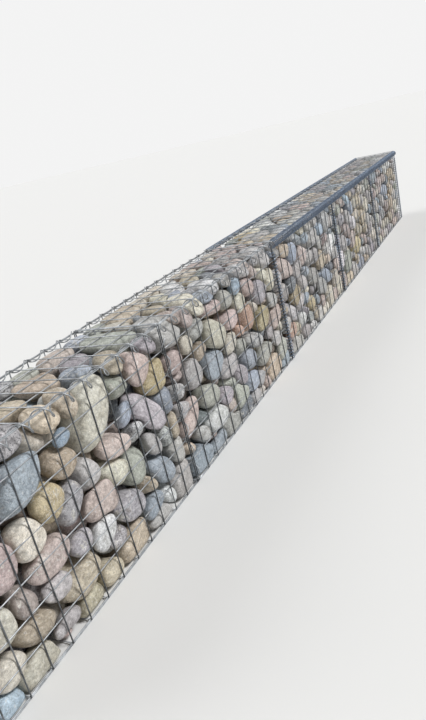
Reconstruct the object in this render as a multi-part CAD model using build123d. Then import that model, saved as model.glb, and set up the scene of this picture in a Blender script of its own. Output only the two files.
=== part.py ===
"""Gabion wall: a low garden wall of wire baskets filled with cobbles, laced together in a row of bays.

Millimetres. X runs along the wall, Y into the bank behind it and Z up.
The origin is the middle of the underside of the wall's outer box.
Each basket is made of flat welded mesh panels. Spiral binders are wound round the edge wires
where the panels meet: along the front of every lid, down every joint and down the four corners.
"""

from build123d import *
from math import ceil, cos, floor, pi, sin, sqrt
import os

# The welded mesh
MESH_PITCH = 75.0        # nominal spacing of the wires, both ways
WIRE = 4.0               # width and depth of one wire
CLEARANCE = 0.3          # room left between pieces that bear on each other

# One basket, from middle to middle of its panels' edge wires
BAY_LENGTH = 975.0
BAY_DEPTH = 300.0
BAY_HEIGHT = 525.0

# The row
BAYS = 5
HIDDEN_SPAN = 4          # a hidden panel keeps about one inner wire in this many

# The spiral binders
EDGE_RADIUS = 20.0       # along an edge of two panels, from the axis to the corners of the wire's path
JOINT_RADIUS = 12.5      # the same down a joint, where three panels' edge wires are bound tightly
COIL_SIDES = 5           # straight runs in each turn
EDGE_LEAD = -0.16        # where a turn seats along an edge, in pitches from the nearest cross wire
JOINT_LEAD = 0.375       # the same down a joint


def cells_in(size):
    """How many mesh cells share out a panel's side."""
    return max(1, round(size / MESH_PITCH))


# What follows from the sizes above
EDGE_INSET = WIRE + CLEARANCE + WIRE / 2          # outer plane of a panel to its neighbour's edge wire
BAY_PITCH = BAY_LENGTH + 2 * (WIRE + CLEARANCE)
LENGTH = BAYS * BAY_PITCH + WIRE
DEPTH = BAY_DEPTH + 2 * EDGE_INSET
HEIGHT = BAY_HEIGHT + 2 * EDGE_INSET
ROW_PITCH = BAY_HEIGHT / cells_in(BAY_HEIGHT)
COIL_REACH = WIRE / sqrt(3)                       # centre to corner of the coil's three-sided wire
EDGE_AXIS = EDGE_RADIUS * cos(pi / COIL_SIDES) - COIL_REACH - CLEARANCE   # outer plane to the binder's axis
JOINT_AXIS = (EDGE_INSET + WIRE / 2) / 2          # the same down a joint, in the middle of the edge wires


def every_wire(size):
    """Places of all the inner wires across a panel's side, from its middle."""
    cells = cells_in(size)
    return [(k / cells - 0.5) * size for k in range(1, cells)]


def few_wires(size):
    """Places of the inner wires that a hidden panel keeps."""
    cells = cells_in(size)
    spans = max(1, round(cells / HIDDEN_SPAN))
    return [every_wire(size)[round(k * cells / spans) - 1] for k in range(1, spans)]


def wire_section():
    """Section of one mesh wire: three sides, flat side down."""
    return Polygon((-WIRE / 2, 0), (WIRE / 2, 0), (0, WIRE), align=None)


def wire_bar(length):
    """A straight mesh wire along X."""
    return extrude(Plane.YZ * wire_section(), length / 2, both=True)


def mesh_panel(size_x, size_y, wires_at):
    """A flat welded panel, centred on the XY plane with its flat side down.

    One edge wire runs round it with mitred corners, and the inner wires are welded in between.
    """
    edge_start = Plane(origin=(0, -size_y / 2, 0), x_dir=(0, 1, 0), z_dir=(1, 0, 0))
    edge_path = Polyline(
        (0, -size_y / 2, 0),
        (size_x / 2, -size_y / 2, 0),
        (size_x / 2, size_y / 2, 0),
        (-size_x / 2, size_y / 2, 0),
        (-size_x / 2, -size_y / 2, 0),
        close=True,
    )
    edge_wire = sweep(edge_start * wire_section(), path=edge_path, transition=Transition.RIGHT)
    long_wires = [Pos(0, y, 0) * wire_bar(size_x) for y in wires_at(size_y)]
    cross_wires = [Pos(x, 0, 0) * Rot(0, 0, 90) * wire_bar(size_y) for x in wires_at(size_x)]
    return edge_wire + long_wires + cross_wires


def binder(radius, length, pitch, lead):
    """A spiral binder along X from a cross wire, with the seats of its turns facing +Z."""
    step = pitch / COIL_SIDES
    seat = lead * pitch
    first = ceil((WIRE - seat) / step - 0.5)
    last = floor((length - WIRE - seat) / step - 0.5)
    corners = []
    for k in range(first, last + 1):
        angle = 2 * pi * (k + 0.5) / COIL_SIDES
        along = (k + 0.5) * step + seat
        corners.append((along, -radius * sin(angle), radius * cos(angle)))
    path = Polyline(*corners)
    section = Plane(origin=path @ 0, z_dir=path % 0) * RegularPolygon(COIL_REACH, 3)
    return sweep(section, path=path, transition=Transition.RIGHT)


def relief_for(radius, axis_x, axis_y):
    """How far the fill's edge is cut back to clear a binder whose axis lies that deep in both panels."""
    gap = WIRE + CLEARANCE
    return axis_x + axis_y + sqrt(2) * (radius + COIL_REACH + CLEARANCE) - 2 * gap


def cobble_fill(bay):
    """The packed cobbles of one basket as one mass, eased back wherever a binder turns inside."""
    gap = WIRE + CLEARANCE
    end = (BAY_PITCH - WIRE) / 2 - CLEARANCE
    side = DEPTH / 2 - gap
    top = HEIGHT / 2 - gap
    at_edge = relief_for(EDGE_RADIUS, EDGE_INSET, EDGE_AXIS)
    at_joint = relief_for(JOINT_RADIUS, WIRE / 2, JOINT_AXIS)
    left = at_edge if bay == 1 else at_joint
    right = at_edge if bay == BAYS else at_joint
    plan = Polygon(
        (left - end, -side),
        (end - right, -side),
        (end, right - side),
        (end, side - right),
        (end - right, side),
        (left - end, side),
        (-end, side - left),
        (-end, left - side),
        align=None,
    )
    lid_edge = Plane.YZ * Polygon((-side, top), (-side, top - at_edge), (at_edge - side, top), align=None)
    return extrude(plan, top, both=True) - extrude(lid_edge, end, both=True)


def joint_x(number):
    """Middle of a joint between bays, counted from the left end of the row."""
    return (number - BAYS / 2) * BAY_PITCH


def bay_pieces():
    """The fill, panels and lid binder of every bay."""
    front = mesh_panel(BAY_LENGTH, BAY_HEIGHT, every_wire)
    lid = mesh_panel(BAY_LENGTH, BAY_DEPTH, every_wire)
    back = mesh_panel(BAY_LENGTH, BAY_HEIGHT, few_wires)
    base = mesh_panel(BAY_LENGTH, BAY_DEPTH, few_wires)
    coil = binder(EDGE_RADIUS, BAY_LENGTH, BAY_LENGTH / cells_in(BAY_LENGTH), EDGE_LEAD)
    pieces = {}
    for bay in range(1, BAYS + 1):
        x = (joint_x(bay - 1) + joint_x(bay)) / 2
        first_wire = x - BAY_LENGTH / 2
        pieces[f"cobble_fill_{bay}"] = Pos(x, 0, HEIGHT / 2) * cobble_fill(bay)
        pieces[f"front_panel_{bay}"] = Plane((x, -DEPTH / 2, HEIGHT / 2), (1, 0, 0), (0, 1, 0)) * front
        pieces[f"back_panel_{bay}"] = Plane((x, DEPTH / 2, HEIGHT / 2), (1, 0, 0), (0, -1, 0)) * back
        pieces[f"lid_panel_{bay}"] = Plane((x, 0, HEIGHT), (1, 0, 0), (0, 0, -1)) * lid
        pieces[f"base_panel_{bay}"] = Pos(x, 0, 0) * base
        pieces[f"lid_binder_{bay}"] = Pos(first_wire, EDGE_INSET - DEPTH / 2, HEIGHT - EDGE_AXIS) * coil
    return pieces


def cross_panels():
    """The two end panels and the partitions between the bays."""
    end = mesh_panel(BAY_DEPTH, BAY_HEIGHT, every_wire)
    partition = mesh_panel(BAY_DEPTH, BAY_HEIGHT, few_wires)
    middle = HEIGHT / 2
    pieces = {
        "left_end_panel": Plane((-LENGTH / 2, 0, middle), (0, 1, 0), (1, 0, 0)) * end,
        "right_end_panel": Plane((LENGTH / 2, 0, middle), (0, 1, 0), (-1, 0, 0)) * end,
    }
    for joint in range(1, BAYS):
        place = Plane((joint_x(joint) - WIRE / 2, 0, middle), (0, 1, 0), (1, 0, 0))
        pieces[f"partition_panel_{joint}"] = place * partition
    return pieces


def upright_binders():
    """The binders wound down the front of every joint and down the four corners.

    They stop a cell short of the lid, where its own binder turns.
    """
    laced_height = BAY_HEIGHT - ROW_PITCH
    at_joint = binder(JOINT_RADIUS, laced_height, ROW_PITCH, JOINT_LEAD)
    at_corner = binder(EDGE_RADIUS, laced_height, ROW_PITCH, EDGE_LEAD)
    corner_x = LENGTH / 2 - EDGE_INSET
    corner_y = DEPTH / 2 - EDGE_AXIS
    joint_y = JOINT_AXIS - DEPTH / 2
    low = EDGE_INSET
    high = EDGE_INSET + laced_height
    up = (0, 0, 1)
    down = (0, 0, -1)
    to_front = (0, -1, 0)
    to_back = (0, 1, 0)
    pieces = {
        "front_left_binder": Plane((-corner_x, -corner_y, high), down, to_front) * at_corner,
        "front_right_binder": Plane((corner_x, -corner_y, low), up, to_front) * at_corner,
        "back_left_binder": Plane((-corner_x, corner_y, low), up, to_back) * at_corner,
        "back_right_binder": Plane((corner_x, corner_y, high), down, to_back) * at_corner,
    }
    for joint in range(1, BAYS):
        pieces[f"joint_binder_{joint}"] = Plane((joint_x(joint), joint_y, low), up, to_front) * at_joint
    return pieces


def main():
    """Makes every piece, centres the row on its outer box and writes one file for each piece."""
    pieces = {**bay_pieces(), **cross_panels(), **upright_binders()}
    boxes = [piece.bounding_box() for piece in pieces.values()]
    front = min(box.min.Y for box in boxes)
    back = max(box.max.Y for box in boxes)
    to_middle = Pos(0, -(front + back) / 2, 0)
    os.makedirs("parts", exist_ok=True)
    for name, piece in pieces.items():
        export_step(to_middle * piece, f"parts/{name}.step")
    print("moved in Y by", -(front + back) / 2)


main()
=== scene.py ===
"""The gabion wall's looks: round mesh wires, wound binders and packed cobbles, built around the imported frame.

Metres, in the frame's own axes: X along the wall, Y into the bank, Z up.
"""

from math import cos, pi, sin

import bmesh
import bpy
import numpy as np
from mathutils import Matrix, Vector


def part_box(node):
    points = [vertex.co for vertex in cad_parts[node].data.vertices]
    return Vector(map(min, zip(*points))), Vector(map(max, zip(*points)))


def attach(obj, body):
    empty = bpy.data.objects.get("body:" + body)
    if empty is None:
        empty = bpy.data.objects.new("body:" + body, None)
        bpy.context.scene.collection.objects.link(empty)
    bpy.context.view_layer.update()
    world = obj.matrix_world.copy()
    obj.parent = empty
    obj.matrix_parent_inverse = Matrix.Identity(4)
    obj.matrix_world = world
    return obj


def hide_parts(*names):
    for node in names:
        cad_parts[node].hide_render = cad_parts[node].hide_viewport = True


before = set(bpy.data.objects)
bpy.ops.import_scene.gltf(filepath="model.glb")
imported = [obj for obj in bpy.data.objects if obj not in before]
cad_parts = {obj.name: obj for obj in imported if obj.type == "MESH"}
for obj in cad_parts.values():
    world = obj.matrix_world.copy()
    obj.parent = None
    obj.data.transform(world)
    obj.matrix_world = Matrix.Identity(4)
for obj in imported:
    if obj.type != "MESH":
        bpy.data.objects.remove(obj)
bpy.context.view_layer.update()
BAYS = sum(name.startswith("front_panel_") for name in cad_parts)

ALONG, UP, TO_FRONT, TO_BACK = (1, 0, 0), (0, 0, 1), (0, -1, 0), (0, 1, 0)

# An attribute's type and field, by how many numbers it has for a point
ATTRIBUTE_KINDS = {1: ("FLOAT", "value"), 3: ("FLOAT_VECTOR", "vector"), 4: ("FLOAT_COLOR", "color")}

# The random seed that each family of pieces starts from, to which a piece's own number is added
SEEDS = {
    "front": 10,
    "back": 20,
    "lid": 30,
    "base": 40,
    "end": 50,
    "partition": 60,
    "lid coil": 70,
    "back lid coil": 75,
    "joint coil": 80,
    "corner coil": 90,
    "cobbles": 100,
}

# Mesh wires
WIRE_RADIUS = 0.0018
WELD = 0.0006                 # how far two welded wires sink into each other
MESH_DEPTH = 4 * WIRE_RADIUS - WELD
MESH_PITCH = 0.075
WIRE_SIDES = 8
STEPS_PER_CELL = 2            # straight runs of a mesh wire between two crossings
BULGE = 0.002                 # the most that a panel bows inwards
BULGE_LENGTH = 0.7            # the longest wave of that
STRAY = 0.0014                # the most that an inner wire strays sideways
STRAY_LENGTH = 0.25
LID_RAISE = 0.0030            # the lid's outer wires over its solid's top, clear of the front's top wire
END_DROP = 0.0030             # the level wires of the ends and partitions under the front's, which they meet
UPRIGHT_DULL_AND_SHADE, LEVEL_DULL_AND_SHEEN, COIL_DULL = 1.00, 0.30, 0.50     # how far the wires go from bright zinc to dark: partly weathering, partly painted light, with the uprights painted dark as painted shade and the level wires bright as painted highlight
DULL_SPREAD = 0.10            # how much that differs from wire to wire
RIPPLE_WAVES = 6              # waves in an uneven line or surface
SHORTEST_WAVE = 0.35          # the shortest of them against the longest

# Binders
EDGE_COIL = 0.0185            # radius of a binder along an edge
JOINT_COIL = 0.0105           # the same down a joint, where three edge wires are bound tightly
JOINT_AXIS = 0.00415          # how deep a joint's binder has its axis behind the front
BACK_COIL = 0.0088            # radius of the tight binder along a lid's back edge
BACK_AXIS = (0.0016, 0.0061)  # how far in and down from the lid's back edge it has its axis
BACK_REACH = 0.0048           # how far the back corners' binders stand proud of the back mesh
LID_ROOM = 0.040              # where the upright binders stop under the lid's
COIL_WIRE = 0.00185
COIL_SIDES = 6
OPEN_PITCH = 0.075            # one turn a cell, as the near bays are laced
CLOSE_PITCH = 0.015           # the close winding of the far bays, five turns a cell
OPEN_STEPS, CLOSE_STEPS = 24, 14              # straight runs in one turn
OPEN_LEAD, CLOSE_LEAD = -0.16, 0.373          # where a turn seats on an edge, in pitches from a cross wire
JOINT_LEAD = 0.375            # the same down a joint
CLOSE_FROM = 2                # joints from this number on, and lids after it, are wound closely
COIL_SLIP, SLIP_LENGTH = 0.2, 0.4             # the most radians that a turn slips, and its longest wave
COIL_SIZE = 0.985             # the turns' mean size against the binder's radius
COIL_SLACK, SLACK_LENGTH = 0.015, 0.3         # the most that their size differs from it, and its longest wave

# The cobbles' sizes and places
STONE_SIZE = 0.0508           # half the width of an average stone
SIZE_SPREAD = 0.18
STONE_SHAPE = ((1.08, 1.62), (0.85, 1.12), (0.60, 0.88))   # a stone's three half widths against its own size
STONE_TILT = 0.38             # radians, how far a stone's flat side leans
STONE_ROOM = 0.74             # share of a stone's own box that it takes up in the pile
PLACE_TRIES = 40              # places tried for a stone, of which the one with most room is taken
VOXEL = 0.014                 # size of the cells by which the room is shared out
SHARE_ROUNDS = 6
STAY, MOVE = 0.2, 0.8         # how far a stone stays, and how far it moves to the middle of its share
# How far past the mesh the stones' middles are shared out, which flattens them there and fills the edges
OVERFILL_LOW = (0.012, 0.017, 0.030)
OVERFILL_HIGH = (0.012, 0.022, 0.022)
LEAST_DEPTH = 0.014           # how deep behind the mesh and the binders every stone has its middle
LID_GAP = 0.002               # room between the stones and the lid's solid
COIL_ROOM = 0.0005            # room between a binder's turns and the stones
SKIN = 0.070                  # how deep the stones that show lie; those further in fill the room tightly
EDGE = 0.055                  # how far from the base, or the lid's back edge, the stones grow to fill it too

# The cobbles' forms
FORM_SWELLS = ((0.026, 1.6, 5), (0.004, 5.0, 8))           # height, frequency and number of its swells
FLAT_COUNT = (2, 7)           # a stone has at least the first number of flat faces, and fewer than the second
FLAT_AT = (0.74, 1.0)         # how far out they lie, against the stone's own size
GROWTH = (0.98, 1.18)         # how far a stone that shows grows, against its half widths
FULLEST = 1.6                 # the same where the room has to be filled
SOFTNESS = (0.0040, 0.0085)   # how roundly a stone that shows gives way to what it touches
TIGHT_SOFTNESS = 0.0030       # the same deep inside
STONE_GAP = 0.0012            # room between two stones that touch
NEIGHBOURS = 18               # stones that one stone is pressed against
GROWTH_STEPS = 12             # halvings of the range in which a point's growth lies
FELT = 0.2                    # distance past which nothing presses on a stone
NEAR_BAYS = 3                 # bays whose outer stones get the finer mesh
FINE_FRONT, FINE_LID = 0.075, 0.065           # how deep behind the front and the lid they have it
FINE_SPLITS, PLAIN_SPLITS = 4, 3              # how often the ball is split from which a stone is shaped

# The cobbles' colours
TONE_SPREAD, HUE_SPREAD = 0.11, 0.015         # how much a stone differs from its kind
BRIGHTEST = 0.9
PATTERN_SHIFT = 5             # the most that a stone's patterns are shifted, so that no two are alike

# Kinds of cobble: share, ground colour, mark colour, speckle, banding
COBBLE_KINDS = {
    "warm grey": (0.22, (0.728, 0.718, 0.712), (0.585, 0.575, 0.568), 0.25, 0.30),
    "sandstone": (0.17, (0.768, 0.722, 0.655), (0.608, 0.558, 0.488), 0.20, 0.50),
    "cream": (0.13, (0.822, 0.802, 0.758), (0.672, 0.641, 0.583), 0.20, 0.35),
    "pink beige": (0.12, (0.762, 0.706, 0.684), (0.622, 0.566, 0.549), 0.25, 0.40),
    "mauve grey": (0.07, (0.688, 0.668, 0.690), (0.548, 0.530, 0.555), 0.20, 0.60),
    "blue grey": (0.10, (0.655, 0.690, 0.730), (0.510, 0.545, 0.590), 0.20, 0.30),
    "pale blue": (0.02, (0.610, 0.680, 0.735), (0.690, 0.745, 0.780), 0.15, 0.20),
    "green grey": (0.05, (0.690, 0.700, 0.665), (0.560, 0.572, 0.540), 0.25, 0.30),
    "ochre": (0.015, (0.770, 0.720, 0.600), (0.620, 0.560, 0.430), 0.20, 0.40),
    "white quartz": (0.055, (0.862, 0.865, 0.866), (0.735, 0.732, 0.715), 0.10, 0.20),
    "granite": (0.05, (0.790, 0.790, 0.790), (0.360, 0.360, 0.370), 0.90, 0.00),
    "slate": (0.03, (0.500, 0.520, 0.540), (0.380, 0.400, 0.420), 0.15, 0.30),
    "faded orange": (0.01, (0.760, 0.650, 0.590), (0.620, 0.510, 0.450), 0.20, 0.40),
}

# A few stones at the front whose kind is chosen: along the wall, height and kind
CHOSEN = (
    (-2.34, 0.030, "cream"),
    (-2.219, 0.176, "pink beige"),
    (-2.217, 0.108, "sandstone"),
    (-2.154, 0.288, "cream"),
    (-2.037, 0.101, "sandstone"),
    (-2.014, 0.176, "mauve grey"),
    (-1.946, 0.030, "sandstone"),
    (-1.62, 0.322, "mauve grey"),
    (-2.13, 0.475, "blue grey"),
    (-2.02, 0.357, "ochre"),
    (-1.95, 0.525, "ochre"),
    (-1.89, 0.455, "pale blue"),
    (-1.83, 0.400, "cream"),
    (-1.65, 0.492, "pink beige"),
    (-0.95, 0.500, "pale blue"),
    (-0.92, 0.349, "faded orange"),
    (-0.36, 0.172, "faded orange"),
    (-0.18, 0.158, "blue grey"),
)
NEAREST_BY = (1, 3, 1)        # how much each direction counts in finding them, most of all the depth

# Colours of the materials
VEIN = (0.60, 0.58, 0.53, 1.0)
# pale flecks on the stones: partly mineral flecks, partly painted highlights that copy glints of sunlight
FLECK_AND_PAINTED_GLINT = (0.64, 0.64, 0.64, 1.0)
DIRT = (0.13, 0.105, 0.075, 1.0)
ZINC = ((0.46, 0.48, 0.50, 1.0), (0.085, 0.092, 0.10, 1.0), 0.42)          # bright, dark for weathering and for the uprights' painted shade, roughness
SLATE_ZINC = ((0.22, 0.28, 0.37, 1.0), (0.09, 0.11, 0.15, 1.0), 0.45)
SPANGLE = (0.60, 0.62, 0.65, 1.0)
FLOOR = (0.80, 0.80, 0.79, 1.0)

# Surroundings. A sun is the direction towards it, its strength and its spread in radians
KEY_SUN = ((0.25, -0.72, 0.85), 2.7, 0.30)
FILL_SUN = ((-0.35, 0.75, 0.70), 1.0, 0.60)
EVEN_LIGHT = 0.22             # light from all round
BACKDROP = 0.90               # brightness behind the floor, about that of the floor itself
FLOOR_REACH = 60.0

# Camera
LENS = 31.95
SENSOR = 36.0
CAMERA_AT = (-2.977, -1.142, 1.023)
YAW, PITCH, ROLL = 0.5105, 0.3394, -0.2362


def box_of(node):
    """A node's lowest and highest corners as arrays."""
    low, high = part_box(node)
    return np.array(low), np.array(high)


def unit(vectors):
    """Vectors scaled to length 1, along the last axis."""
    return vectors / np.linalg.norm(vectors, axis=-1, keepdims=True)


def by_point(parts, shapes):
    """One row of numbers for every point, from one row for each shape or for each of its points."""
    return np.concatenate([
        np.broadcast_to(part, (len(verts), len(part))) if np.ndim(part) == 1 else part
        for part, (verts, faces) in zip(parts, shapes)
    ])


def add_piece(name, shapes, material, replaced, values):
    """Joins shapes into one mesh object that rides on the wall and stands for some of its nodes.

    values holds, under each name, one list of numbers for every shape, for the material to read.
    """
    offsets = np.cumsum([0] + [len(verts) for verts, faces in shapes]).tolist()
    verts = np.concatenate([verts for verts, faces in shapes])
    faces = [[index + start for index in face] for start, (_, part) in zip(offsets, shapes) for face in part]
    mesh = bpy.data.meshes.new(name)
    mesh.from_pydata(verts, [], faces)
    mesh.shade_smooth()
    mesh.materials.append(material)
    for key, parts in values.items():
        rows = by_point(parts, shapes)
        kind, field = ATTRIBUTE_KINDS[rows.shape[1]]
        attribute = mesh.attributes.new(key, kind, "POINT")
        attribute.data.foreach_set(field, rows.astype(np.float32).ravel())
    piece = bpy.data.objects.new(name, mesh)
    bpy.context.scene.collection.objects.link(piece)
    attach(piece, "root")
    if replaced:
        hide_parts(*replaced)


def tube(path, outward, radius, sides):
    """A closed round wire along a path, with its rings turned to a reference direction."""
    along = unit(np.gradient(path, axis=0))
    first = np.broadcast_to(outward, path.shape)
    first = unit(first - (first * along).sum(1)[:, None] * along)
    second = np.cross(along, first)
    turn = np.arange(sides) * 2 * pi / sides
    ring = np.cos(turn)[None, :, None] * first[:, None] + np.sin(turn)[None, :, None] * second[:, None]
    verts = (path[:, None] + radius * ring).reshape(-1, 3)
    starts = np.arange(len(path) - 1)[:, None] * sides
    here, after = np.arange(sides), (np.arange(sides) + 1) % sides
    quads = np.stack([starts + here, starts + after, starts + sides + after, starts + sides + here], -1)
    ends = [list(reversed(range(sides))), list(range(len(verts) - sides, len(verts)))]
    return verts, quads.reshape(-1, 4).tolist() + ends


def ripple(rng, longest):
    """A smooth random field over a plane: the mean of a few long waves, between -1 and 1."""
    heading = rng.uniform(0, 2 * pi, RIPPLE_WAVES)
    length = longest * rng.uniform(SHORTEST_WAVE, 1.0, RIPPLE_WAVES)
    phase = rng.uniform(0, 2 * pi, RIPPLE_WAVES)
    turns = np.stack([np.cos(heading), np.sin(heading)]) * 2 * pi / length

    def field(u, v):
        return np.sin(np.multiply.outer(u, turns[0]) + np.multiply.outer(v, turns[1]) + phase).mean(-1)

    return field


def mesh_panel(name, node, normal, side, material, seed, bulge=BULGE, raised=0.0, drop=0.0, long_outer=False):
    """A welded panel of round wires in two layers, in place of a flat one.

    normal is the axis across the panel, and side is -1 or 1 for the way it faces. Its outer layer is
    raised over the solid's face, and its level wires are dropped. The wires along the panel's shorter
    side lie outside the long ones, unless long_outer is set.
    """
    low, high = box_of(node)
    long_axis, cross_axis = {0: (1, 2), 1: (0, 2), 2: (0, 1)}[normal]
    outer = (high if side > 0 else low)[normal] + side * raised
    rng = np.random.default_rng(seed)
    bend = ripple(rng, BULGE_LENGTH)
    stray = ripple(rng, STRAY_LENGTH)
    outward = np.zeros(3)
    outward[normal] = side
    shapes, weathering_and_shade = [], []
    layers = ((long_axis, cross_axis, long_outer), (cross_axis, long_axis, not long_outer))
    for axis, across, outside in layers:
        depth = WIRE_RADIUS if outside else MESH_DEPTH - WIRE_RADIUS
        cells = round((high[axis] - low[axis]) / MESH_PITCH)
        run = np.linspace(low[axis], high[axis], cells * STEPS_PER_CELL + 1)
        rows = round((high[across] - low[across]) / MESH_PITCH) + 1
        places = np.linspace(low[across] + WIRE_RADIUS, high[across] - WIRE_RADIUS, rows)
        for row, place in enumerate(places):
            inner_wire = 0 < row < rows - 1
            path = np.zeros((len(run), 3))
            path[:, axis] = run
            path[:, across] = place + inner_wire * STRAY * stray(run, place)
            if across == 2:
                path[:, across] -= drop
            sway = (1 + bend(path[:, long_axis], path[:, cross_axis])) / 2
            path[:, normal] = outer - side * (depth + bulge * sway)
            shapes.append(tube(path, outward, WIRE_RADIUS, WIRE_SIDES))
            # uprights are painted dark as painted shade and level wires bright as painted highlight, on top of
            # their random weathering
            weathering_and_shade.append([(UPRIGHT_DULL_AND_SHADE if axis == 2 else LEVEL_DULL_AND_SHEEN) + rng.normal(0, DULL_SPREAD)])
    add_piece(name, shapes, material, [node], {"weathering_and_shade": weathering_and_shade})


def build_meshes(material):
    """The welded panels of every basket."""
    for bay in range(1, BAYS + 1):
        mesh_panel(f"front_mesh_{bay}", f"front_panel_{bay}", 1, -1, material, SEEDS["front"] + bay)
        mesh_panel(f"back_mesh_{bay}", f"back_panel_{bay}", 1, 1, material, SEEDS["back"] + bay)
        name, node = f"lid_mesh_{bay}", f"lid_panel_{bay}"
        mesh_panel(name, node, 2, 1, material, SEEDS["lid"] + bay, raised=LID_RAISE)
        name, node = f"base_mesh_{bay}", f"base_panel_{bay}"
        mesh_panel(name, node, 2, -1, material, SEEDS["base"] + bay, bulge=0.0, long_outer=True)
    for number, (end, side) in enumerate((("left", -1), ("right", 1)), start=1):
        name, node = f"{end}_end_mesh", f"{end}_end_panel"
        mesh_panel(name, node, 0, side, material, SEEDS["end"] + number, drop=END_DROP)
    for joint in range(1, BAYS):
        name, node = f"partition_mesh_{joint}", f"partition_panel_{joint}"
        mesh_panel(name, node, 0, -1, material, SEEDS["partition"] + joint, bulge=0.0, drop=END_DROP)


def coil(name, start, axis, seat, sweep, length, radius, winding, seed, replaced=()):
    """A binder wound about a line. Its turns bear towards seat, and go round from there towards sweep.

    winding is its pitch, its lead, the straight runs in a turn and its material.
    """
    pitch, lead, steps, material = winding
    rng = np.random.default_rng(seed)
    axis, seat, sweep = (np.array(v, float) for v in (axis, seat, sweep))
    along = np.arange(2 * COIL_WIRE, length - 2 * COIL_WIRE, pitch / steps)
    slip = ripple(rng, SLIP_LENGTH)(along, 0 * along)
    slack = ripple(rng, SLACK_LENGTH)(along, 0 * along)
    angle = 2 * pi * (along / pitch - lead) + COIL_SLIP * slip
    radial = np.cos(angle)[:, None] * seat + np.sin(angle)[:, None] * sweep
    reach = radius * (COIL_SIZE + COIL_SLACK * slack)
    path = np.array(start) + along[:, None] * axis + reach[:, None] * radial
    shapes = [tube(path, radial, COIL_WIRE, COIL_SIDES)]
    add_piece(name, shapes, material, replaced, {"weathering_and_shade": [[COIL_DULL]]})


def lid_binders(bay, winding):
    """The binders along the front and back edges of one lid."""
    low, high = box_of(f"lid_panel_{bay}")
    first, length = low[0] + WIRE_RADIUS, high[0] - low[0] - 2 * WIRE_RADIUS
    start = (first, low[1] + WIRE_RADIUS, high[2] + WIRE_RADIUS - EDGE_COIL)
    seed, node = SEEDS["lid coil"] + bay, f"lid_binder_{bay}"
    coil(f"lid_coil_{bay}", start, ALONG, UP, TO_FRONT, length, EDGE_COIL, winding, seed, [node])
    start = (first, high[1] - BACK_AXIS[0], high[2] - BACK_AXIS[1])
    seed = SEEDS["back lid coil"] + bay
    coil(f"back_lid_coil_{bay}", start, ALONG, UP, TO_BACK, length, BACK_COIL, winding, seed)


def upright_run():
    """The foot and the length of the upright binders."""
    low, high = box_of("partition_panel_1")
    return low[2] + WIRE_RADIUS, high[2] - low[2] - LID_ROOM


def joint_binder(joint, winding):
    """The binder down the front of one joint."""
    low, high = box_of(f"partition_panel_{joint}")
    bottom, height = upright_run()
    start = ((low[0] + high[0]) / 2, box_of("front_panel_1")[0][1] + JOINT_AXIS, bottom)
    seed, node = SEEDS["joint coil"] + joint, f"joint_binder_{joint}"
    coil(f"joint_coil_{joint}", start, UP, TO_FRONT, ALONG, height, JOINT_COIL, winding, seed, [node])


def corner_binders(at_left, at_right):
    """The binders down the four corners, with the windings of both ends."""
    bottom, height = upright_run()
    left = box_of("front_panel_1")[0][0] + WIRE_RADIUS
    right = box_of(f"front_panel_{BAYS}")[1][0] - WIRE_RADIUS
    front = box_of("front_panel_1")[0][1] - WIRE_RADIUS + EDGE_COIL
    back = box_of("back_panel_1")[1][1] + BACK_REACH - COIL_WIRE - EDGE_COIL
    for number, (corner, x, y, seat, away, winding) in enumerate((
        ("front_left", left, front, TO_FRONT, -1, at_left),
        ("front_right", right, front, TO_FRONT, 1, at_right),
        ("back_left", left, back, TO_BACK, -1, at_left),
        ("back_right", right, back, TO_BACK, 1, at_right),
    )):
        start, sweep = (x, y, bottom), (away, 0, 0)
        seed, node = SEEDS["corner coil"] + number, f"{corner}_binder"
        coil(f"{corner}_coil", start, UP, seat, sweep, height, EDGE_COIL, winding, seed, [node])


def build_binders(bright, dark):
    """All the binders: wound openly of bright wire on the near bays, closely of dark wire on the others."""
    open_edge = (OPEN_PITCH, OPEN_LEAD, OPEN_STEPS, bright)
    close_edge = (CLOSE_PITCH, CLOSE_LEAD, CLOSE_STEPS, dark)
    open_joint = (OPEN_PITCH, JOINT_LEAD, OPEN_STEPS, bright)
    close_joint = (CLOSE_PITCH, JOINT_LEAD, CLOSE_STEPS, dark)
    for bay in range(1, BAYS + 1):
        lid_binders(bay, close_edge if bay > CLOSE_FROM else open_edge)
    for joint in range(1, BAYS):
        joint_binder(joint, close_joint if joint >= CLOSE_FROM else open_joint)
    corner_binders(open_edge, close_edge)


def icosphere(subdivisions):
    """Unit directions and faces of an icosphere."""
    ball = bmesh.new()
    bmesh.ops.create_icosphere(ball, subdivisions=subdivisions, radius=1.0)
    directions = unit(np.array([vert.co[:] for vert in ball.verts]))
    faces = [[vert.index for vert in face.verts] for face in ball.faces]
    ball.free()
    return directions, faces


def eased_edge(outward, axis, radius):
    """The plane that keeps the stones behind a binder, as its outward normal and limit."""
    normal = unit(np.array(outward, float))
    return normal, normal @ axis - radius - COIL_WIRE - COIL_ROOM


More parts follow.
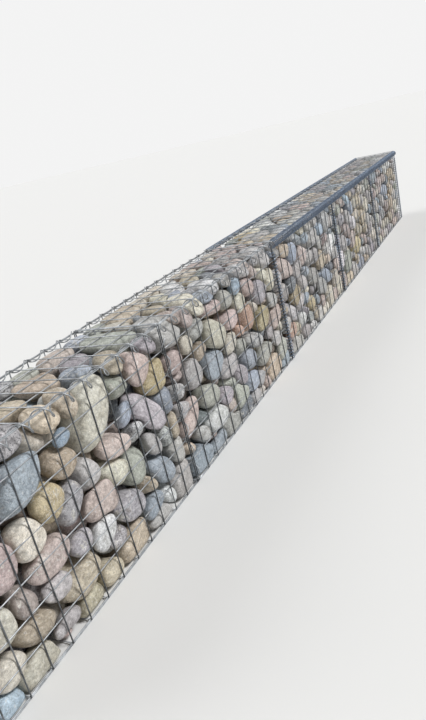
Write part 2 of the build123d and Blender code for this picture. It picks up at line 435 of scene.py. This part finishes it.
def basket_room(bay):
    """The box that holds one basket's stones, and all its planes as outward normals and limits."""
    front_low, front_high = box_of(f"front_panel_{bay}")
    lid_low, lid_high = box_of(f"lid_panel_{bay}")
    back_high = box_of(f"back_panel_{bay}")[1]
    low = np.array([front_low[0] + WIRE_RADIUS, front_low[1] + MESH_DEPTH - WIRE_RADIUS, MESH_DEPTH])
    high = np.array([
        front_high[0] - WIRE_RADIUS,
        back_high[1] - MESH_DEPTH + WIRE_RADIUS,
        lid_low[2] - LID_GAP,
    ])
    sides = np.concatenate([-np.eye(3), np.eye(3)])
    planes = list(zip(sides, np.concatenate([-low, high])))
    front, back = front_low[1], back_high[1]
    lid = lid_high[2] + WIRE_RADIUS
    planes.append(eased_edge((0, -1, 1), (0, front + EDGE_COIL, lid - EDGE_COIL), EDGE_COIL))
    back_axis = (0, lid_high[1] - BACK_AXIS[0], lid_high[2] - BACK_AXIS[1])
    planes.append(eased_edge((0, 1, 1), back_axis, BACK_COIL))
    for side, x, at_end in ((-1, front_low[0], bay == 1), (1, front_high[0], bay == BAYS)):
        if at_end:
            planes.append(eased_edge((side, -1, 0), (x, front + EDGE_COIL, 0), EDGE_COIL))
            planes.append(eased_edge((side, 1, 0), (x, back - EDGE_COIL, 0), EDGE_COIL))
        else:
            planes.append(eased_edge((side, -1, 0), (x, front + JOINT_AXIS, 0), JOINT_COIL))
    return low, high, planes


def random_forms(rng, count):
    """Random stones as their sizes, half widths and turns."""
    half = STONE_SIZE * np.exp(rng.normal(0, SIZE_SPREAD, count))
    axes = half[:, None] * np.stack([rng.uniform(*limits, count) for limits in STONE_SHAPE], 1)
    yaws = rng.uniform(0, pi, count)
    tilts = rng.normal(0, STONE_TILT, (count, 2))
    turns = np.array([
        Matrix.Rotation(yaw, 3, "Z") @ Matrix.Rotation(a, 3, "X") @ Matrix.Rotation(b, 3, "Y")
        for yaw, (a, b) in zip(yaws, tilts)
    ])
    return half, axes, turns


def scatter(rng, half, measure, low, high):
    """First middles for the stones, the largest first, each at the freest of a few random places."""
    middles = np.empty((len(half), 3))
    placed = []
    for stone in np.argsort(-half):
        tries = rng.uniform(low, high, (PLACE_TRIES, 3))
        best = 0
        if placed:
            away = tries[:, None] - middles[placed]
            best = np.linalg.norm(np.einsum("abi,bij->abj", away, measure[placed]), axis=2).min(1).argmax()
        middles[stone] = tries[best]
        placed.append(stone)
    return middles


def share_room(middles, measure, low, high):
    """The middles after each stone has moved, a few times, towards the middle of the room nearest to it."""
    count = len(middles)
    sides = [np.arange(a + VOXEL / 2, b, VOXEL) for a, b in zip(low, high)]
    points = np.stack(np.meshgrid(*sides, indexing="ij"), -1).reshape(-1, 3)
    for _ in range(SHARE_ROUNDS):
        nearest = np.full(len(points), np.inf)
        owner = np.zeros(len(points), int)
        for stone in range(count):
            distance = (((points - middles[stone]) @ measure[stone]) ** 2).sum(1)
            closer = distance < nearest
            nearest[closer] = distance[closer]
            owner[closer] = stone
        held = np.bincount(owner, minlength=count)
        sums = np.stack([np.bincount(owner, points[:, k], minlength=count) for k in range(3)], 1)
        centres = sums / np.maximum(held, 1)[:, None]
        middles = np.where((held > 1)[:, None], STAY * middles + MOVE * centres, middles)
    return middles


def pack_stones(rng, low, high, planes):
    """Stones of mixed sizes that share a basket's room, each in its own measure.

    Gives their middles, half widths, turns and measures. A measure turns an offset into a stone's own
    axes and divides it by its half widths, so that the stone's surface is at about 1.
    """
    low, high = low - OVERFILL_LOW, high + OVERFILL_HIGH
    count = int(np.prod(high - low) / ((2 * STONE_SIZE) ** 3 * STONE_ROOM))
    half, axes, turns = random_forms(rng, count)
    measure = turns / axes[:, None, :]
    middles = share_room(scatter(rng, half, measure, low, high), measure, low, high)
    for normal, limit in planes:
        middles -= (middles @ normal - limit + LEAST_DEPTH).clip(0)[:, None] * normal
    return middles, axes, turns, measure


def swells(rng, directions, height, frequency, number):
    """A smooth random height for every direction: a sum of waves."""
    phases = directions @ rng.normal(0, frequency, (3, number)) + rng.uniform(0, 2 * pi, number)
    return height * np.sin(phases).sum(1)


def stone_surface(rng, stone, pile, planes, directions, softness, largest):
    """A cobble's points: its own form, grown and pressed softly against its neighbours and the mesh."""
    middles, axes, turns, measure = pile
    middle = middles[stone]
    reach = (directions * axes[stone]) @ turns[stone].T
    near = np.argsort(np.linalg.norm(middles - middle, axis=1))[1:NEIGHBOURS + 1]
    size = axes.mean(1)
    press = 1 / (1 / size[stone] + 1 / size[near])
    swell = 1
    for kind in FORM_SWELLS:
        swell = swell + swells(rng, directions, *kind)
    flats = unit(rng.normal(0, 1, (rng.integers(*FLAT_COUNT), 3)))
    flat_at = rng.uniform(*FLAT_AT, len(flats))
    normals = np.array([normal for normal, limit in planes])
    limits = np.array([limit for normal, limit in planes])
    inner = np.zeros(len(directions))
    outer = np.full(len(directions), FULLEST)
    for _ in range(GROWTH_STEPS):
        t = (inner + outer) / 2
        points = middle + t[:, None] * reach
        away = np.einsum("abi,bij->abj", points[:, None] - middles[near], measure[near])
        room = np.concatenate([
            (np.linalg.norm(away, axis=2) - t[:, None]) * press - STONE_GAP,
            limits - points @ normals.T,
            (largest * swell - t)[:, None] * size[stone],
            (flat_at * largest * swell[:, None] - t[:, None] * (directions @ flats.T)) * size[stone],
        ], 1)
        fits = np.exp(-room.clip(-FELT, FELT) / softness).sum(1) < 1
        inner = np.where(fits, t, inner)
        outer = np.where(fits, outer, t)
    return middle + inner[:, None] * reach


def stone_kinds(rng, middles, low, high):
    """A kind for every stone, by the kinds' shares, apart from the few that are chosen."""
    shares = np.array([kind[0] for kind in COBBLE_KINDS.values()])
    kinds = rng.choice(list(COBBLE_KINDS), len(middles), p=shares / shares.sum())
    for x, z, kind in CHOSEN:
        if low[0] < x < high[0]:
            kinds[(abs(middles - (x, low[1], z)) @ NEAREST_BY).argmin()] = kind
    return kinds


def to_linear(colour):
    """Screen colour to linear light."""
    c = np.asarray(colour)
    return np.where(c <= 0.04045, c / 12.92, ((c + 0.055) / 1.055) ** 2.4)


def stone_values(rng, kind, own_points):
    """What the material reads for a stone: two colours, its traits and its points' places in the patterns."""
    _, ground, mark, speckle, banding = COBBLE_KINDS[kind]
    tone = rng.normal(1.0, TONE_SPREAD) + rng.normal(0, HUE_SPREAD, 3)
    return {
        "tint": [*np.clip(to_linear(ground) * tone, 0, BRIGHTEST), 1],
        "mark": [*np.clip(to_linear(mark) * tone, 0, BRIGHTEST), 1],
        "trait": [speckle, banding, rng.uniform()],
        "place": own_points + rng.uniform(-PATTERN_SHIFT, PATTERN_SHIFT, 3),
    }


def cobbles(bay, material, fine_ball, plain_ball):
    """All the stones of one basket as one joined mesh, with what the material reads in its attributes.

    Stones deep inside fill the room tightly. Those at the foot and along the lid's back edge grow to fill
    it too, but stay rounded.
    """
    rng = np.random.default_rng(SEEDS["cobbles"] + bay)
    low, high, planes = basket_room(bay)
    pile = pack_stones(rng, low, high, planes)
    middles, turns = pile[0], pile[2]
    kinds = stone_kinds(rng, middles, low, high)
    shapes, values = [], []
    for stone, middle in enumerate(middles):
        from_low, from_high = middle - low, high - middle
        seen = from_low[1] < FINE_FRONT or from_high[2] < FINE_LID
        directions, faces = fine_ball if bay <= NEAR_BAYS and seen else plain_ball
        deep = min(from_low[1], from_high[1], from_high[2]) > SKIN
        at_edge = from_low[2] < EDGE or max(from_high[1], from_high[2]) < EDGE
        softness = TIGHT_SOFTNESS if deep else rng.uniform(*SOFTNESS)
        largest = FULLEST if deep or at_edge else rng.uniform(*GROWTH)
        verts = stone_surface(rng, stone, pile, planes, directions, softness, largest)
        shapes.append((verts, faces))
        values.append(stone_values(rng, kinds[stone], (verts - middle) @ turns[stone]))
    values = {key: [own[key] for own in values] for key in values[0]}
    add_piece(f"cobbles_{bay}", shapes, material, [f"cobble_fill_{bay}"], values)


class Shader:
    """A new material with short ways to add and link nodes."""

    def __init__(self, name):
        self.material = bpy.data.materials.new(name)
        self.material.use_nodes = True
        self.nodes = self.material.node_tree.nodes
        self.links = self.material.node_tree.links
        self.surface = self.nodes["Principled BSDF"]

    def put(self, socket, value):
        """Links or sets one socket."""
        if isinstance(value, bpy.types.NodeSocket):
            self.links.new(value, socket)
        else:
            socket.default_value = value

    def add(self, kind, inputs=(), **settings):
        """A new node with its settings and inputs."""
        node = self.nodes.new(kind)
        for key, value in settings.items():
            setattr(node, key, value)
        for key, value in dict(inputs).items():
            self.put(node.inputs[key], value)
        return node

    def attribute(self, name, output):
        """One of a piece's attributes, by name."""
        return self.add("ShaderNodeAttribute", attribute_name=name).outputs[output]

    def noise(self, vector, scale, detail, roughness, distortion=0.0):
        """Fractal noise about 0.5."""
        inputs = {
            "Vector": vector,
            "Scale": scale,
            "Detail": detail,
            "Roughness": roughness,
            "Distortion": distortion,
        }
        return self.add("ShaderNodeTexNoise", inputs).outputs["Fac"]

    def ramp(self, value, low, high, to_low=0.0, to_high=1.0):
        """A value from low to high, turned into one from to_low to to_high and kept there."""
        inputs = {"Value": value, "From Min": low, "From Max": high, "To Min": to_low, "To Max": to_high}
        return self.add("ShaderNodeMapRange", inputs, clamp=True).outputs["Result"]

    def math(self, operation, a, b):
        """Two values put together."""
        return self.add("ShaderNodeMath", {0: a, 1: b}, operation=operation).outputs[0]

    def mix(self, factor, a, b, blend="MIX"):
        """Two colours mixed, where 0 gives the first."""
        node = self.add("ShaderNodeMix", {0: factor, 6: a, 7: b}, data_type="RGBA", blend_type=blend)
        return node.outputs[2]

    def shade(self, colour, level):
        """A colour made darker or lighter by a level, where 1 leaves it as it is."""
        grey = self.add("ShaderNodeCombineColor", {0: level, 1: level, 2: level}).outputs[0]
        return self.mix(1.0, colour, grey, "MULTIPLY")

    def bump(self, height, strength, distance, normal=None):
        """A surface direction bent by a height, on top of another one if it is given."""
        inputs = {"Height": height, "Strength": strength, "Distance": distance}
        if normal is not None:
            inputs["Normal"] = normal
        return self.add("ShaderNodeBump", inputs).outputs["Normal"]

    def set(self, **values):
        """Sets the surface shader's own sockets, with _ for a space in their names."""
        for key, value in values.items():
            self.put(self.surface.inputs[key.replace("_", " ")], value)


def stone_colour(s, place, clouds, grain):
    """A cobble's colour: its ground with clouds, bands, flecks and a vein, then uneven, with pale flecks that
    are partly mineral and partly painted glints, and dirty.
    """
    tint = s.attribute("tint", "Color")
    mark = s.attribute("mark", "Color")
    trait = s.add("ShaderNodeSeparateXYZ", {"Vector": s.attribute("trait", "Vector")})
    speckle, banding, chance = (trait.outputs[axis] for axis in "XYZ")
    colour = s.mix(s.ramp(clouds, 0.42, 0.68, 0.0, 0.65), tint, mark)

    layers = s.add("ShaderNodeMapping", {"Vector": place, "Scale": (10.0, 18.0, 120.0)}).outputs["Vector"]
    bands = s.ramp(s.noise(layers, 1.0, 4.0, 0.55, 0.9), 0.48, 0.56)
    colour = s.mix(s.math("MULTIPLY", bands, banding), colour, mark)

    flecks = s.ramp(s.noise(place, 240.0, 2.0, 0.6), 0.53, 0.60)
    colour = s.mix(s.math("MULTIPLY", flecks, speckle), colour, mark)

    from_vein = s.math("ABSOLUTE", s.math("SUBTRACT", s.noise(place, 14.0, 3.0, 0.5, 0.6), 0.5), 0.0)
    has_vein = s.ramp(chance, 0.74, 0.76, 0.0, 0.7)
    colour = s.mix(s.math("MULTIPLY", s.ramp(from_vein, 0.004, 0.012, 1.0, 0.0), has_vein), colour, VEIN)

    blotches = s.noise(place, 85.0, 5.0, 0.68, 0.3)
    colour = s.shade(colour, s.ramp(blotches, 0.28, 0.72, 0.62, 1.40))
    colour = s.shade(colour, s.ramp(grain, 0.3, 0.7, 0.64, 1.34))
    # pale flecks, partly mineral and partly painted glints of light
    colour = s.mix(s.ramp(s.noise(place, 170.0, 2.0, 0.6), 0.61, 0.68, 0.0, 0.55), colour, FLECK_AND_PAINTED_GLINT)
    dirt = s.ramp(s.noise(place, 38.0, 5.0, 0.7), 0.55, 0.70, 0.0, 0.55)
    return s.mix(s.math("MULTIPLY", dirt, chance), colour, DIRT)


def stone_material():
    """River cobbles of many kinds, with a dull worn skin and fine pits."""
    s = Shader("cobble_stone")
    place = s.attribute("place", "Vector")
    clouds = s.noise(place, 26.0, 5.0, 0.62, 0.5)
    grain = s.noise(place, 240.0, 4.0, 0.75)
    colour = stone_colour(s, place, clouds, grain)
    normal = s.bump(s.noise(place, 60.0, 5.0, 0.62), 0.6, 0.006)
    normal = s.bump(grain, 0.5, 0.0015, normal)
    s.set(Base_Color=colour, Roughness=s.ramp(clouds, 0.3, 0.7, 0.44, 0.72), Normal=normal)
    return s.material


def wire_material(name, bright, weathered_and_shaded, roughness):
    """Weathered zinc: brighter or duller by wire, in patches, with small spangles and a little pitting. The
    upright wires are painted darker as painted shade, and the level wires lighter as painted highlight.
    """
    s = Shader(name)
    place = s.add("ShaderNodeTexCoord").outputs["Object"]
    patches = s.noise(place, 45.0, 4.0, 0.6)
    spangle = s.noise(place, 420.0, 2.0, 0.6)
    # weathering and painted shade: the wire's painted dark or bright level, made uneven in patches
    wear_and_shade = s.math("ADD", s.attribute("weathering_and_shade", "Fac"), s.ramp(patches, 0.30, 0.70, -0.35, 0.35))
    colour = s.mix(s.ramp(wear_and_shade, 0.0, 1.0), bright, weathered_and_shaded)
    colour = s.mix(s.ramp(spangle, 0.55, 0.75, 0.0, 0.35), colour, SPANGLE)
    rough = s.ramp(patches, 0.3, 0.7, roughness - 0.08, roughness + 0.12)
    s.set(Base_Color=colour, Metallic=0.7, Roughness=rough, Normal=s.bump(spangle, 0.2, 0.0004))
    return s.material


def set_camera():
    """The photograph's viewpoint, as an eye position and three turns."""
    forward = Vector((cos(PITCH) * cos(YAW), cos(PITCH) * sin(YAW), -sin(PITCH)))
    level = Vector((sin(YAW), -cos(YAW), 0.0))
    upright = level.cross(forward)
    right = cos(ROLL) * level + sin(ROLL) * upright
    up = -sin(ROLL) * level + cos(ROLL) * upright
    data = bpy.data.cameras.new("camera")
    data.lens = LENS
    data.sensor_width = SENSOR
    camera = bpy.data.objects.new("camera", data)
    turn = Matrix((right, up, -forward)).transposed()
    camera.matrix_world = Matrix.Translation(CAMERA_AT) @ turn.to_4x4()
    bpy.context.scene.collection.objects.link(camera)
    bpy.context.scene.camera = camera


def add_sun(name, towards, strength, spread):
    """A broad soft light from far away. towards points from the wall to the light."""
    data = bpy.data.lights.new(name, "SUN")
    data.energy = strength
    data.angle = spread
    lamp = bpy.data.objects.new(name, data)
    lamp.rotation_euler = Vector(towards).to_track_quat("Z", "Y").to_euler()
    bpy.context.scene.collection.objects.link(lamp)


def add_floor():
    """A plain pale floor, which isn't part of the wall."""
    corners = [(x * FLOOR_REACH, y * FLOOR_REACH, 0) for x, y in ((-1, -1), (1, -1), (1, 1), (-1, 1))]
    mesh = bpy.data.meshes.new("floor")
    mesh.from_pydata(corners, [], [(0, 1, 2, 3)])
    s = Shader("floor_paint")
    s.set(Base_Color=FLOOR, Roughness=0.9)
    mesh.materials.append(s.material)
    floor = bpy.data.objects.new("floor", mesh)
    bpy.context.scene.collection.objects.link(floor)


def set_world():
    """A pale backdrop for the camera and for reflections, and an even light of a lower level."""
    world = bpy.data.worlds.new("world")
    world.use_nodes = True
    nodes, links = world.node_tree.nodes, world.node_tree.links
    background = nodes["Background"]
    background.inputs["Color"].default_value = (1.0, 1.0, 1.0, 1.0)
    rays = nodes.new("ShaderNodeLightPath")
    seen = rays.outputs["Is Camera Ray"]
    for kind in ("Is Glossy Ray", "Is Transmission Ray"):
        either = nodes.new("ShaderNodeMath")
        either.operation = "MAXIMUM"
        links.new(seen, either.inputs[0])
        links.new(rays.outputs[kind], either.inputs[1])
        seen = either.outputs[0]
    strength = nodes.new("ShaderNodeMapRange")
    strength.inputs["To Min"].default_value = EVEN_LIGHT
    strength.inputs["To Max"].default_value = BACKDROP
    links.new(seen, strength.inputs["Value"])
    links.new(strength.outputs["Result"], background.inputs["Strength"])
    bpy.context.scene.world = world


set_camera()
stone_skin = stone_material()
zinc = wire_material("zinc", *ZINC)
slate_zinc = wire_material("slate_zinc", *SLATE_ZINC)
build_meshes(zinc)
build_binders(zinc, slate_zinc)
fine, plain = icosphere(FINE_SPLITS), icosphere(PLAIN_SPLITS)
for number in range(1, BAYS + 1):
    cobbles(number, stone_skin, fine, plain)
add_floor()
set_world()
add_sun("key", *KEY_SUN)
add_sun("fill", *FILL_SUN)
bpy.context.scene.view_settings.view_transform = "Standard"
